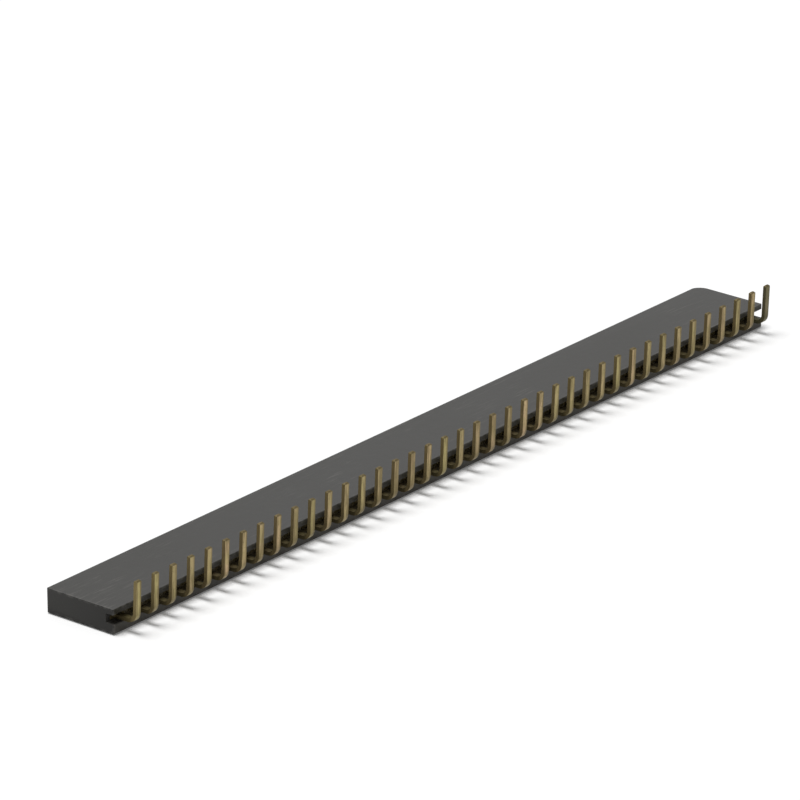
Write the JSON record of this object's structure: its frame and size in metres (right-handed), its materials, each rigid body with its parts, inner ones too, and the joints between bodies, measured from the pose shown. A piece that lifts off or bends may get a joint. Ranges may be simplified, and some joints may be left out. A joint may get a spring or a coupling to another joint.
{
  "type": "female pin header strip",
  "caption": "Right-angle female pin header strip: a slim grooved moulding with square sockets along one side and bent flat solder tails along the other.",
  "frame": {"origin": "centre of the moulding's underside", "axes": "+X along the row, +Y out of the mating face, +Z out of the board-side face, the way the solder tails point"},
  "size_m": [0.1022, 0.0105, 0.0055],
  "materials": {
    "plastic": "fine matt moulding",
    "contact_metal": "satin gold flash"
  },
  "bodies": {
    "root": {"housing": "plastic", "contact_01": "contact_metal", "contact_02": "contact_metal", "contact_03": "contact_metal", "contact_04": "contact_metal", "contact_05": "contact_metal", "contact_06": "contact_metal", "contact_07": "contact_metal", "contact_08": "contact_metal", "contact_09": "contact_metal", "contact_10": "contact_metal", "contact_11": "contact_metal", "contact_12": "contact_metal", "contact_13": "contact_metal", "contact_14": "contact_metal", "contact_15": "contact_metal", "contact_16": "contact_metal", "contact_17": "contact_metal", "contact_18": "contact_metal", "contact_19": "contact_metal", "contact_20": "contact_metal", "contact_21": "contact_metal", "contact_22": "contact_metal", "contact_23": "contact_metal", "contact_24": "contact_metal", "contact_25": "contact_metal", "contact_26": "contact_metal", "contact_27": "contact_metal", "contact_28": "contact_metal", "contact_29": "contact_metal", "contact_30": "contact_metal", "contact_31": "contact_metal", "contact_32": "contact_metal", "contact_33": "contact_metal", "contact_34": "contact_metal", "contact_35": "contact_metal", "contact_36": "contact_metal", "contact_37": "contact_metal", "contact_38": "contact_metal", "contact_39": "contact_metal", "contact_40": "contact_metal"}
  },
  "joints": []
}
